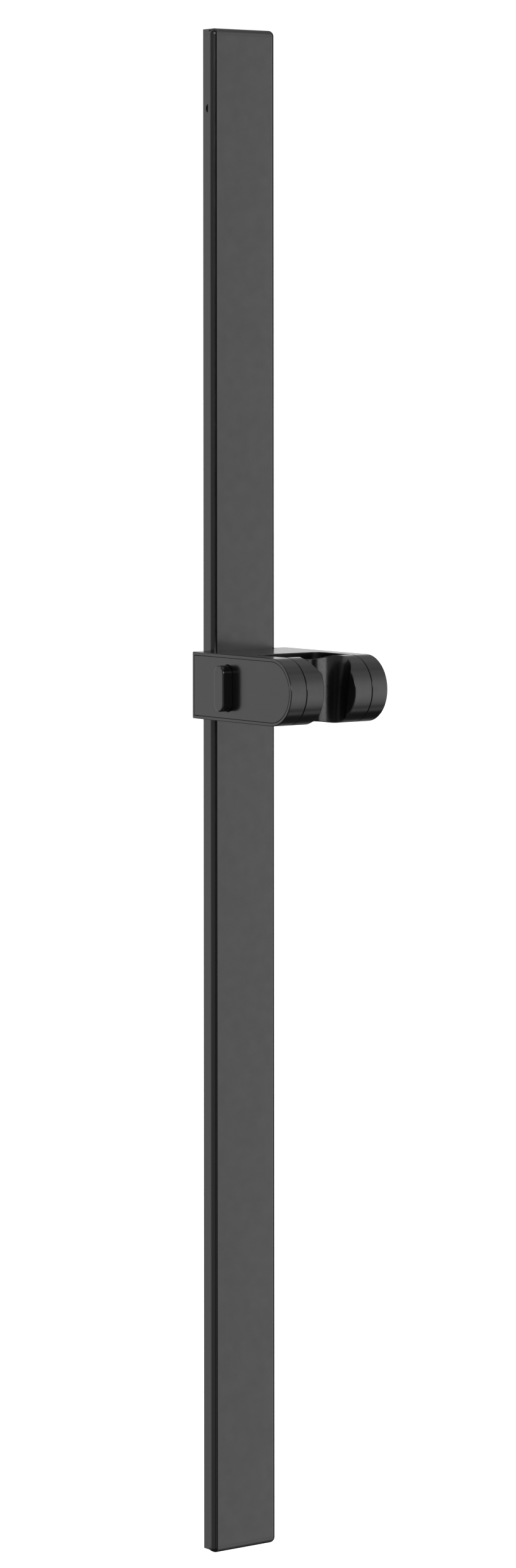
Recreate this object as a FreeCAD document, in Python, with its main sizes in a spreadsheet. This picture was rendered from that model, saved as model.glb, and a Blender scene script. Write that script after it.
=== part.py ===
import FreeCAD
import Part
import Sketcher
import os

# Shower slide rail: a flat rail on two wall brackets and a sliding handset holder with a push-button brake
# X is to the right, -Y is the front, +Y the wall, Z is up; the wall plane is Y = 0, the rail's middle is Z = 0

# Driving sizes in millimetres: name, value, what it is
SIZES = [
    ("rail_length", "900", "overall height of the rail with both end caps"),
    ("rail_width", "46", "width of the front slab"),
    ("rail_depth", "15.1", "wall to front face"),
    ("slab_thick", "4.8", "thickness of the front slab"),
    ("edge_round", "3", "rounding of the slab's front edges"),
    ("corner_round", "3.4", "rounding of the slab's four corners in front view"),
    ("leg_inset", "3.8", "how far the back legs stand in from the slab's sides"),
    ("leg_wall", "2.4", "wall of each back leg"),
    ("lip_thick", "1.6", "thickness of the lips behind the brackets"),
    ("lip_reach", "2.6", "reach of each lip into the channel"),
    ("cap_shoulder", "0.5", "straight part of an end cap's side, below its corner"),
    ("cap_seam", "0.05", "fine groove between an end cap and the rail"),
    ("plug_depth", "10", "depth of the cap's plug in the channel"),
    ("plug_wall", "1.6", "wall of the hollow plug"),
    ("fit_gap", "0.15", "clearance of the plugs and brackets in the channel"),
    ("fix_inset", "47", "rail end to wall screw"),
    ("bracket_height", "34", "height of a wall bracket"),
    ("bracket_gap", "0.9", "front of a bracket to the slab"),
    ("fix_hole", "5.5", "wall screw hole"),
    ("fix_head", "10.5", "countersink of the wall screw hole"),
    ("grub_size", "5", "locking grub screw"),
    ("grub_length", "8", "length of the grub screw"),
    ("grub_recess", "1.3", "grub screw below the leg's face"),
    ("grub_gap", "0.1", "clearance of the grub screw in the leg, on the radius"),
    ("grub_height", "5.45", "wall to the grub screw's axis"),
    ("grub_socket", "2.5", "hexagon socket of the grub screw"),
    ("grub_socket_depth", "2.5", "depth of that socket"),
    ("slider_pos", "62.7", "slider's middle above the rail's middle"),
    ("slider_height", "39.2", "height of the slider and diameter of its round nose"),
    ("slider_overhang", "11.9", "slider beyond each side of the rail"),
    ("back_reach", "7", "slider behind the rail's front face"),
    ("back_round", "4.2", "rounding of the slider's back corners"),
    ("axis_reach", "73.6", "rail front face to the holder's axis"),
    ("soft_edge", "0.5", "soft outer edge of the housing"),
    ("rim_wall", "1.7", "rim round a side cover"),
    ("cover_thick", "2", "thickness of a side cover"),
    ("cover_gap", "0.3", "seam round a side cover"),
    ("cover_round", "0.2", "soft outer edges of a side cover"),
    ("cheek_thick", "11.1", "cheek beside the holder, with its cover"),
    ("rotor_gap", "0.3", "seam between cheek and holder"),
    ("opening_reach", "40.9", "rail front face to the back of the hose opening"),
    ("seam_round", "0.35", "soft edges of the hose opening and of the holder's barrel"),
    ("opening_round", "6", "rounding of the opening's back corners"),
    ("bridge_thick", "2.4", "wall behind the hose opening"),
    ("plate_thick", "3", "top and bottom plates of the housing"),
    ("cavity_round", "0.8", "corners of the mechanism's cavity"),
    ("back_wall", "4.6", "wall between cavity and rail"),
    ("slide_gap", "0.3", "clearance of the guide shoes on the slab"),
    ("shoe_wall", "1", "wall of a guide shoe"),
    ("shoe_foot", "8", "reach of a guide shoe over the slab's front"),
    ("shoe_margin", "2", "end of a guide shoe to the slider's top or bottom"),
    ("neck_gap", "0.7", "clearance of the claws beside the legs"),
    ("pad_width", "15", "width of the brake pad"),
    ("pad_height", "16", "height of the brake pad"),
    ("pad_thick", "3", "thickness of the brake pad"),
    ("pad_gap", "0.1", "brake pad to rail at rest"),
    ("pad_offset", "2", "brake pad's middle left of the rail's middle"),
    ("window_gap", "2.4", "clearance round the brake pad in its window"),
    ("lever_side", "15", "lever pivot right of the rail's middle"),
    ("hub_clear", "0.9", "lever's hub to the wall behind it"),
    ("pin_size", "3", "lever pin"),
    ("run_gap", "0.05", "running clearance of pins, rod and pivots, on the radius"),
    ("pin_bite", "2", "lever pin into the top plate"),
    ("hub_size", "9", "lever's hub"),
    ("hub_gap", "0.3", "clearance above and below the hub"),
    ("arm_wall", "4", "thickness of the lever's fork arm"),
    ("arm_height", "14", "height of the lever's arms"),
    ("arm_back", "7", "rail front face to the back of the brake arm"),
    ("arm_front", "13", "rail front face to the front of the brake arm at the fork arm"),
    ("arm_tip", "9", "rail front face to the front of the brake arm at its tip"),
    ("fork_over", "4", "fork beyond the rod's axis"),
    ("button_setback", "9.9", "back of the hose opening to the button's middle"),
    ("button_width", "9.3", "width of the button"),
    ("button_margin", "6.1", "end of the button to the slider's top or bottom"),
    ("button_proud", "6.7", "button beyond the side cover"),
    ("button_gap", "0.35", "clearance of the button in the cover"),
    ("button_round", "1", "rounding of the button's face edge"),
    ("flange_lip", "1.4", "button's flange beyond the button"),
    ("flange_thick", "1.4", "thickness of the flange"),
    ("flange_gap", "0.1", "flange to cover at rest"),
    ("rod_size", "6", "push rod"),
    ("rod_seat", "4", "push rod into the button"),
    ("rod_neck", "4", "neck of the push rod in the fork"),
    ("rod_end", "2.4", "collar beyond the fork"),
    ("fork_gap", "0.7", "play of the fork between the rod's shoulders"),
    ("neck_play", "0.3", "play of the neck in the fork's slot"),
    ("rib_gap", "2", "brake pad to the rod's guide rib"),
    ("rib_thick", "4", "thickness of the guide rib"),
    ("spring_wire", "0.9", "wire of the return spring"),
    ("spring_coil", "8.6", "mean coil diameter of the return spring"),
    ("spring_turns", "6", "turns of the return spring"),
    ("cone_radius", "13.3", "holder's conical bore, radius at mid height"),
    ("cone_flare", "1.9", "gain of that radius from mid height to the top"),
    ("cone_forward", "6.2", "bore's axis in front of the holder's axis"),
    ("mouth_step", "1.15", "bore's smallest radius less the half-width of its mouth"),
    ("mouth_splay", "5.5", "gain of that half-width as far in front as the slider is high"),
    ("lead_round", "0.4", "soft edge of the bore and its mouth"),
    ("pivot_size", "8", "shoulder of a pivot screw"),
    ("pivot_thread", "6", "thread of a pivot screw"),
    ("thread_depth", "7.5", "thread in the holder"),
    ("head_size", "11", "head of a pivot screw"),
    ("head_thick", "3", "thickness of that head"),
    ("pocket_gap", "0.5", "clearance round the spring washer in its pocket"),
    ("head_wall", "4.1", "cheek's wall under that head"),
    ("hex_size", "5", "hexagon socket of a pivot screw"),
    ("hex_depth", "2", "depth of that socket"),
    ("washer_thick", "1", "friction washer"),
    ("washer_size", "18", "outer diameter of the friction washer"),
    ("ring_gap", "0.1", "clearance of the washers on the shoulder, on the radius"),
    ("wave_thick", "0.6", "spring washer"),
    ("wave_size", "12", "outer diameter of the spring washer"),
    ("peg_size", "3", "pegs of the side covers"),
    ("peg_length", "3", "length of the pegs"),
    ("peg_gap", "0.1", "clearance of the pegs, on the radius"),
    ("peg_end", "0.3", "clearance at the end of the pegs"),
    ("peg_rise", "10", "pegs above and below mid height"),
    ("peg_inset", "2", "cover's back edge to its back pegs"),
    ("peg_front", "55", "front pegs in front of the rail's front face"),
]

# Sizes worked out from the driving ones
DERIVED = [
    ("half_width", "=rail_width / 2"),
    ("front_in", "=half_width - edge_round"),
    ("slab_back", "=rail_depth - slab_thick"),
    ("front_side", "=rail_depth - edge_round"),
    ("leg_half", "=half_width - leg_inset"),
    ("channel_half", "=leg_half - leg_wall"),
    ("lip_half", "=channel_half - lip_reach"),
    ("cap_height", "=corner_round + cap_shoulder"),
    ("profile_length", "=rail_length - 2 * cap_height"),
    ("cap_level", "=rail_length / 2 - cap_height"),
    ("corner_in", "=half_width - corner_round"),
    ("plug_half", "=channel_half - fit_gap"),
    ("plug_front", "=slab_back - fit_gap"),
    ("plug_rear", "=lip_thick + fit_gap"),
    ("hollow_half", "=plug_half - plug_wall"),
    ("hollow_front", "=plug_front - plug_wall"),
    ("hollow_rear", "=plug_rear + plug_wall"),
    ("hollow_depth", "=plug_depth - plug_wall"),
    ("fix_level", "=rail_length / 2 - fix_inset"),
    ("foot_half", "=lip_half - fit_gap"),
    ("bracket_depth", "=slab_back - bracket_gap"),
    ("fix_radius", "=fix_hole / 2"),
    ("sink_radius", "=fix_head / 2"),
    ("sink_start", "=bracket_depth - sink_radius + fix_radius"),
    ("grub_hole", "=grub_size + 2 * grub_gap"),
    ("grub_outer", "=leg_half - grub_recess"),
    ("grub_inner", "=grub_outer - grub_length"),
    ("grub_hex_half", "=grub_socket / 2"),
    ("grub_hex_tip", "=grub_socket / sqrt(3)"),
    ("grub_hex_edge", "=grub_hex_tip / 2"),
    ("nose_radius", "=slider_height / 2"),
    ("slider_half", "=half_width + slider_overhang"),
    ("slider_width", "=2 * slider_half"),
    ("recess_radius", "=nose_radius - rim_wall"),
    ("recess_back", "=back_reach - back_round"),
    ("cover_radius", "=recess_radius - cover_gap"),
    ("cover_back", "=recess_back - cover_gap"),
    ("cover_inner", "=slider_half - cover_thick"),
    ("cheek_inner", "=slider_half - cheek_thick"),
    ("rotor_half", "=cheek_inner - rotor_gap"),
    ("rotor_length", "=2 * rotor_half"),
    ("opening_in", "=cheek_inner - opening_round"),
    ("opening_bend", "=opening_reach + opening_round"),
    ("nose_front", "=axis_reach + slider_height"),
    ("cavity_front", "=opening_reach - bridge_thick"),
    ("cavity_half", "=nose_radius - plate_thick"),
    ("cavity_front_in", "=cavity_front - cavity_round"),
    ("cavity_back_in", "=back_wall + cavity_round"),
    ("cavity_half_in", "=cavity_half - cavity_round"),
    ("slide_half", "=half_width + slide_gap"),
    ("slide_back", "=slab_thick + slide_gap"),
    ("neck_half", "=leg_half + neck_gap"),
    ("shoe_height", "=slider_height - 2 * shoe_margin"),
    ("shoe_half", "=slide_half + shoe_wall"),
    ("shoe_front", "=slide_gap + shoe_wall"),
    ("shoe_back", "=slide_back + shoe_wall"),
    ("shoe_tip", "=slide_half - shoe_foot"),
    ("pad_left", "=pad_offset + pad_width / 2"),
    ("pad_right", "=pad_width / 2 - pad_offset"),
    ("pad_rise", "=pad_height / 2"),
    ("pad_seat", "=pad_gap + pad_thick"),
    ("window_left", "=pad_left + window_gap"),
    ("window_right", "=pad_right + window_gap"),
    ("window_rise", "=pad_rise + window_gap / 2"),
    ("rib_side", "=pad_left + rib_gap + rib_thick"),
    ("lever_reach", "=back_wall + hub_size / 2 + hub_clear"),
    ("pin_bore", "=pin_size + 2 * run_gap"),
    ("pin_top", "=cavity_half + pin_bite"),
    ("pin_length", "=nose_radius + pin_top"),
    ("hub_height", "=2 * cavity_half - 2 * hub_gap"),
    ("arm_half", "=arm_wall / 2"),
    ("fork_side_in", "=lever_side - arm_half"),
    ("fork_side_out", "=lever_side + arm_half"),
    ("button_reach", "=opening_reach - button_setback"),
    ("fork_end", "=button_reach + fork_over"),
    ("fork_past", "=fork_end + fork_over"),
    ("fork_radius", "=rod_neck / 2 + neck_play"),
    ("button_half", "=button_width / 2"),
    ("button_height", "=slider_height - 2 * button_margin"),
    ("button_rise", "=button_height / 2 - button_half"),
    ("button_near", "=button_reach - button_half"),
    ("button_far", "=button_reach + button_half"),
    ("button_face", "=slider_half + button_proud"),
    ("hole_half", "=button_half + button_gap"),
    ("hole_near", "=button_reach - hole_half"),
    ("hole_far", "=button_reach + hole_half"),
    ("flange_half", "=button_half + flange_lip"),
    ("flange_near", "=button_reach - flange_half"),
    ("flange_far", "=button_reach + flange_half"),
    ("flange_outer", "=cover_inner - flange_gap"),
    ("flange_inner", "=flange_outer - flange_thick"),
    ("button_length", "=button_face - flange_inner"),
    ("rod_radius", "=rod_size / 2"),
    ("rod_bore", "=rod_size + 2 * run_gap"),
    ("rod_left", "=flange_inner + rod_seat"),
    ("neck_radius", "=rod_neck / 2"),
    ("neck_left", "=fork_side_in - fork_gap"),
    ("neck_right", "=fork_side_out + fork_gap"),
    ("rod_right", "=neck_right + rod_end"),
    ("spring_length", "=flange_inner - rib_side - spring_wire"),
    ("spring_pitch", "=spring_length / spring_turns"),
    ("spring_start", "=flange_inner - spring_wire / 2"),
    ("spring_radius", "=spring_coil / 2"),
    ("cone_top", "=nose_radius + lead_round"),
    ("cone_gain", "=cone_flare * cone_top / nose_radius"),
    ("cone_wide", "=cone_radius + cone_gain"),
    ("cone_slim", "=cone_radius - cone_gain"),
    ("cone_reach", "=axis_reach + cone_forward"),
    ("mouth_half", "=cone_slim - mouth_step"),
    ("mouth_top", "=cone_reach + sqrt(cone_wide^2 - mouth_half^2)"),
    ("mouth_bottom", "=cone_reach + sqrt(cone_slim^2 - mouth_half^2)"),
    ("mouth_far", "=mouth_half + mouth_splay"),
    ("washer_sink", "=washer_thick - rotor_gap"),
    ("washer_seat", "=rotor_half - washer_sink"),
    ("thread_end", "=washer_seat - thread_depth"),
    ("head_floor", "=cheek_inner + head_wall"),
    ("head_under", "=head_floor + wave_thick"),
    ("head_top", "=head_under + head_thick"),
    ("pivot_radius", "=pivot_size / 2"),
    ("pivot_bore", "=pivot_size + 2 * run_gap"),
    ("thread_radius", "=pivot_thread / 2"),
    ("head_radius", "=head_size / 2"),
    ("hex_half", "=hex_size / 2"),
    ("hex_tip", "=hex_size / sqrt(3)"),
    ("hex_edge", "=hex_tip / 2"),
    ("head_pocket", "=wave_size + 2 * pocket_gap"),
    ("ring_bore", "=pivot_size + 2 * ring_gap"),
    ("peg_hole", "=peg_size + 2 * peg_gap"),
    ("peg_hole_depth", "=peg_length + peg_end"),
    ("peg_back", "=cover_back - peg_inset"),
    ("slider_front", "=0 - rail_depth"),
    ("rod_line", "=0 - rail_depth - button_reach"),
    ("holder_line", "=0 - rail_depth - axis_reach"),
]

doc = FreeCAD.newDocument("shower_slide_rail")
sheet = doc.addObject("Spreadsheet::Sheet", "Sheet")
row = 0
for name, value, note in SIZES:
    row = row + 1
    sheet.set("A%d" % row, name)
    sheet.set("B%d" % row, value)
    sheet.setAlias("B%d" % row, name)
    sheet.set("C%d" % row, note)
for name, formula in DERIVED:
    row = row + 1
    sheet.set("A%d" % row, name)
    sheet.set("B%d" % row, formula)
    sheet.setAlias("B%d" % row, name)
doc.recompute()


# Coordinates are written as signed sums of the sheet's names, such as "-half_width" or "axis_reach+soft_edge"
def terms(text):
    return [part.strip() for part in text.replace("-", "+-").split("+") if part.strip()]


def number(text):
    total = 0.0
    for term in terms(text):
        sign = -1.0 if term.startswith("-") else 1.0
        name = term.lstrip("-")
        total = total + sign * (0.0 if name == "0" else float(sheet.get(name)))
    return total


def bound(text):
    pieces = []
    for term in terms(text):
        sign = "-" if term.startswith("-") else "+"
        name = term.lstrip("-")
        pieces.append(sign + (" 0" if name == "0" else " Sheet." + name))
    return "0 " + " ".join(pieces)


# A body with its label and its place in the part's frame
def new_body(label, y="0", z="0", turned=False):
    body = doc.addObject("PartDesign::Body", label)
    body.Label = label
    body.AllowCompound = True
    if turned:
        half_turn = FreeCAD.Rotation(FreeCAD.Vector(0, 1, 0), 180)
        body.Placement = FreeCAD.Placement(FreeCAD.Vector(0, 0, 0), half_turn)
    body.setExpression("Placement.Base.y", bound(y))
    body.setExpression("Placement.Base.z", bound(z))
    return body


def origin_plane(body, role):
    return [item for item in body.Origin.OriginFeatures if item.Role == role][0]


# A sketch on one of the body's own origin planes, moved along that plane's normal
def new_sketch(body, name, role, offset="0"):
    sketch = body.newObject("Sketcher::SketchObject", name)
    sketch.AttachmentSupport = [(origin_plane(body, role), "")]
    sketch.MapMode = "FlatFace"
    if offset != "0":
        sketch.setExpression("AttachmentOffset.Base.z", bound(offset))
    return sketch


# Ties one point of a sketch to named sizes
def tie(sketch, geo, pos, x, y, tag):
    for kind, text, axis in (("DistanceX", x, -2), ("DistanceY", y, -1)):
        if text is None:
            continue
        if text == "0":
            sketch.addConstraint(Sketcher.Constraint("PointOnObject", geo, pos, axis))
            continue
        index = sketch.addConstraint(Sketcher.Constraint(kind, -1, 1, geo, pos, number(text)))
        title = "%s_%s" % (tag, kind[-1].lower())
        sketch.renameConstraint(index, title)
        sketch.setExpression("Constraints." + title, bound(text))


# A closed outline: each step is (x, y) for a line, or (x, y, centre x, centre y, turn) for an arc
def outline(body, name, role, start, steps, offset="0"):
    sketch = new_sketch(body, name, role, offset)
    ends = []
    here = start
    for step in steps:
        there = (step[0], step[1])
        p0 = FreeCAD.Vector(number(here[0]), number(here[1]), 0)
        p1 = FreeCAD.Vector(number(there[0]), number(there[1]), 0)
        if len(step) == 2:
            geo = sketch.addGeometry(Part.LineSegment(p0, p1))
            ends.append((geo, 1, 2))
        else:
            centre = FreeCAD.Vector(number(step[2]), number(step[3]), 0)
            circle = Part.Circle(centre, FreeCAD.Vector(0, 0, 1), (p1 - centre).Length)
            first, last = (p0, p1) if step[4] > 0 else (p1, p0)
            arc = Part.ArcOfCircle(circle, circle.parameter(first), circle.parameter(last))
            geo = sketch.addGeometry(arc)
            ends.append((geo, 1, 2) if step[4] > 0 else (geo, 2, 1))
        here = there
    for i in range(len(ends)):
        geo, first, last = ends[i]
        after = ends[(i + 1) % len(ends)]
        sketch.addConstraint(Sketcher.Constraint("Coincident", geo, last, after[0], after[1]))
    for i, step in enumerate(steps):
        geo, first, last = ends[i]
        tie(sketch, geo, last, step[0], step[1], "p%d" % i)
        if len(step) == 5:
            before = start if i == 0 else steps[i - 1]
            flat = abs(number(before[1]) - number(step[1])) < 1e-9
            if flat:
                tie(sketch, geo, 3, None, step[3], "c%d" % i)
            else:
                tie(sketch, geo, 3, step[2], None, "c%d" % i)
    return sketch


def rectangle(body, name, role, x0, x1, y0, y1, offset="0"):
    return outline(body, name, role, (x0, y0), [(x1, y0), (x1, y1), (x0, y1), (x0, y0)], offset)


def circles(body, name, role, items, offset="0"):
    sketch = new_sketch(body, name, role, offset)
    for i, (x, y, size) in enumerate(items):
        centre = FreeCAD.Vector(number(x), number(y), 0)
        circle = Part.Circle(centre, FreeCAD.Vector(0, 0, 1), number(size) / 2)
        geo = sketch.addGeometry(circle)
        tie(sketch, geo, 3, x, y, "c%d" % i)
        index = sketch.addConstraint(Sketcher.Constraint("Diameter", geo, number(size)))
        sketch.renameConstraint(index, "d%d" % i)
        sketch.setExpression("Constraints.d%d" % i, bound(size))
    return sketch


# Outline of the slider's side: straight top and bottom with a round nose
def nose_outline(body, name, radius, back, offset="0"):
    start = (back, "-" + radius)
    steps = [
        ("-axis_reach", "-" + radius),
        ("-axis_reach", radius, "-axis_reach", "0", -1),
        (back, radius),
        (back, "-" + radius),
    ]
    return outline(body, name, "YZ_Plane", start, steps, offset)


# Outline with straight sides and two half-round ends, upright
def stadium(body, name, near, far, offset):
    start = ("-" + far, "-button_rise")
    steps = [
        ("-" + near, "-button_rise", "-button_reach", "-button_rise", 1),
        ("-" + near, "button_rise"),
        ("-" + far, "button_rise", "-button_reach", "button_rise", 1),
        ("-" + far, "-button_rise"),
    ]
    return outline(body, name, "YZ_Plane", start, steps, offset)


def hexagon(body, name, tip, edge, half, x, offset):
    start = (x, tip)
    steps = [
        (x + "-" + half, edge),
        (x + "-" + half, "-" + edge),
        (x, "-" + tip),
        (x + "+" + half, "-" + edge),
        (x + "+" + half, edge),
        (x, tip),
    ]
    return outline(body, name, "YZ_Plane", start, steps, offset)


def size_feature(feature, length, symmetric, flipped):
    feature.Refine = True
    feature.Reversed = flipped
    if symmetric:
        feature.SideType = "Symmetric"
    if length is None:
        feature.Type = "ThroughAll"
    else:
        feature.setExpression("Length", bound(length))


def pad(body, sketch, length, symmetric=False, flipped=False):
    feature = body.newObject("PartDesign::Pad", sketch.Name + "_pad")
    feature.Profile = sketch
    size_feature(feature, length, symmetric, flipped)
    doc.recompute()
    return feature


def volume(body):
    return body.Tip.Shape.Volume


# Cuts a sketch out of a body; a cut that takes nothing away is an error
def pocket(body, sketch, length=None, symmetric=False, flipped=False):
    doc.recompute()
    before = volume(body)
    feature = body.newObject("PartDesign::Pocket", sketch.Name + "_cut")
    feature.Profile = sketch
    size_feature(feature, length, symmetric, flipped)
    doc.recompute()
    if volume(body) > before - 1e-3:
        raise RuntimeError("cut takes nothing away: " + feature.Name)
    return feature


def spin(body, sketch, kind, axis):
    feature = body.newObject("PartDesign::" + kind, sketch.Name + "_turn")
    feature.Profile = sketch
    feature.ReferenceAxis = (sketch, [axis])
    feature.Angle = 360
    doc.recompute()
    return feature


def loft_cut(body, first, second):
    before = volume(body)
    feature = body.newObject("PartDesign::SubtractiveLoft", first.Name + "_loft")
    feature.Profile = first
    feature.Sections = [second]
    feature.Ruled = True
    doc.recompute()
    if volume(body) > before - 1e-3:
        raise RuntimeError("loft takes nothing away: " + feature.Name)
    return feature


# Rounds the edges of the body's last feature that a test picks
def round_edges(body, name, size, test):
    base = body.Tip
    chosen = []
    for i, edge in enumerate(base.Shape.Edges):
        if test(edge):
            chosen.append("Edge%d" % (i + 1))
    if not chosen:
        raise RuntimeError("no edge to round: " + name)
    feature = body.newObject("PartDesign::Fillet", name)
    feature.Base = (base, chosen)
    feature.setExpression("Radius", bound(size))
    doc.recompute()
    return feature


# Repeats a feature on the other side of the rail's middle plane
def mirror(body, name, features):
    feature = body.newObject("PartDesign::Mirrored", name)
    feature.Originals = features
    feature.MirrorPlane = (origin_plane(body, "YZ_Plane"), [""])
    body.Tip = feature
    doc.recompute()
    return feature


def near(a, b):
    return abs(a - b) < 1e-4


def upright(edge):
    box = edge.BoundBox
    return box.XLength < 1e-4 and box.YLength < 1e-4


# Rail: one extruded section, a rounded front slab over two legs with lips that hold the brackets
def make_rail():
    body = new_body("rail_profile")
    steps = [
        ("front_in", "-rail_depth"),
        ("half_width", "-front_side", "front_in", "-front_side", 1),
        ("half_width", "-slab_back"),
        ("leg_half", "-slab_back"),
        ("leg_half", "0"),
        ("lip_half", "0"),
        ("lip_half", "-lip_thick"),
        ("channel_half", "-lip_thick"),
        ("channel_half", "-slab_back"),
        ("-channel_half", "-slab_back"),
        ("-channel_half", "-lip_thick"),
        ("-lip_half", "-lip_thick"),
        ("-lip_half", "0"),
        ("-leg_half", "0"),
        ("-leg_half", "-slab_back"),
        ("-half_width", "-slab_back"),
        ("-half_width", "-front_side"),
        ("-front_in", "-rail_depth", "-front_in", "-front_side", 1),
    ]
    section = outline(body, "rail_section", "XY_Plane", ("-front_in", "-rail_depth"), steps)
    pad(body, section, "profile_length", symmetric=True)
    hole = circles(body, "rail_grub_hole", "YZ_Plane", [("-grub_height", "fix_level", "grub_hole")])
    pocket(body, hole)
    return body


# End cap: the slab's rounded end, the closed end of the legs and a hollow plug in the channel
def make_cap(label, level, turned):
    body = new_body(label, z=level, turned=turned)
    steps = [
        ("half_width", "cap_seam"),
        ("half_width", "cap_shoulder"),
        ("corner_in", "cap_height", "corner_in", "cap_shoulder", 1),
        ("-corner_in", "cap_height"),
        ("-half_width", "cap_shoulder", "-corner_in", "cap_shoulder", 1),
        ("-half_width", "cap_seam"),
    ]
    front = outline(body, label + "_front", "XZ_Plane", ("-half_width", "cap_seam"), steps, "slab_back")
    pad(body, front, "slab_thick")
    depth = -number("rail_depth")
    seam = number("cap_seam")

    def front_rim(edge):
        box = edge.BoundBox
        return near(box.YMin, depth) and near(box.YMax, depth) and box.ZMax > seam + 1e-3

    round_edges(body, label + "_round", "edge_round", front_rim)
    legs = rectangle(body, label + "_legs", "XY_Plane", "-leg_half", "leg_half", "-slab_back", "0", "cap_seam")
    pad(body, legs, "cap_height-cap_seam")
    plug = rectangle(
        body, label + "_plug", "XY_Plane", "-plug_half", "plug_half", "-plug_front", "-plug_rear", "cap_seam"
    )
    pad(body, plug, "plug_depth+cap_seam", flipped=True)
    hollow = rectangle(
        body,
        label + "_hollow",
        "XY_Plane",
        "-hollow_half",
        "hollow_half",
        "-hollow_front",
        "-hollow_rear",
        "-plug_depth",
    )
    pocket(body, hollow, "hollow_depth", flipped=True)
    return body


# Wall bracket: a tee section behind the rail's lips with a countersunk wall screw hole
def make_bracket(label, level, locked):
    body = new_body(label, z=level)
    steps = [
        ("plug_half", "-bracket_depth"),
        ("plug_half", "-plug_rear"),
        ("foot_half", "-plug_rear"),
        ("foot_half", "0"),
        ("-foot_half", "0"),
        ("-foot_half", "-plug_rear"),
        ("-plug_half", "-plug_rear"),
        ("-plug_half", "-bracket_depth"),
    ]
    section = outline(body, label + "_section", "XY_Plane", ("-plug_half", "-bracket_depth"), steps)
    pad(body, section, "bracket_height", symmetric=True)
    bore = [
        ("fix_radius", "0"),
        ("fix_radius", "-sink_start"),
        ("sink_radius", "-bracket_depth"),
        ("0", "-bracket_depth"),
        ("0", "0"),
    ]
    drill = outline(body, label + "_screw_hole", "XY_Plane", ("0", "0"), bore)
    spin(body, drill, "Groove", "V_Axis")
    if locked:
        place = [("-grub_height", "0", "grub_size")]
        tapped = circles(body, label + "_tapped", "YZ_Plane", place, "-grub_inner")
        pocket(body, tapped)
    return body


def make_grub():
    body = new_body("bracket_grub_screw", z="fix_level")
    shank = circles(body, "grub_shank", "YZ_Plane", [("-grub_height", "0", "grub_size")], "-grub_outer")
    pad(body, shank, "grub_length")
    socket = hexagon(
        body, "grub_hex", "grub_hex_tip", "grub_hex_edge", "grub_hex_half", "-grub_height", "-grub_outer"
    )
    pocket(body, socket, "grub_socket_depth", flipped=True)
    return body


# The slider's pieces have their own frame: its origin is on the rail's front face at the slider's mid height
def slider_body(label, y="slider_front"):
    return new_body(label, y=y, z="slider_pos")


# Outline of the shoe in plan on one side; the housing's recess is the same outline
def shoe_steps(side):
    points = [
        ("shoe_tip", "-shoe_front"),
        ("shoe_half", "-shoe_front"),
        ("shoe_half", "shoe_back"),
        ("neck_half", "shoe_back"),
        ("neck_half", "slide_back"),
        ("slide_half", "slide_back"),
        ("slide_half", "-slide_gap"),
        ("shoe_tip", "-slide_gap"),
    ]
    return [(side + x, y) for x, y in points]


def make_shoe(label, side):
    body = slider_body(label)
    points = shoe_steps(side)
    section = outline(body, label + "_section", "XY_Plane", points[-1], points)
    pad(body, section, "shoe_height", symmetric=True)
    return body


# Places of the cover pegs on a side, in the slider's Y and Z
PEGS = [
    ("peg_back", "peg_rise"),
    ("peg_back", "-peg_rise"),
    ("-peg_front", "peg_rise"),
    ("-peg_front", "-peg_rise"),
]


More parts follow.
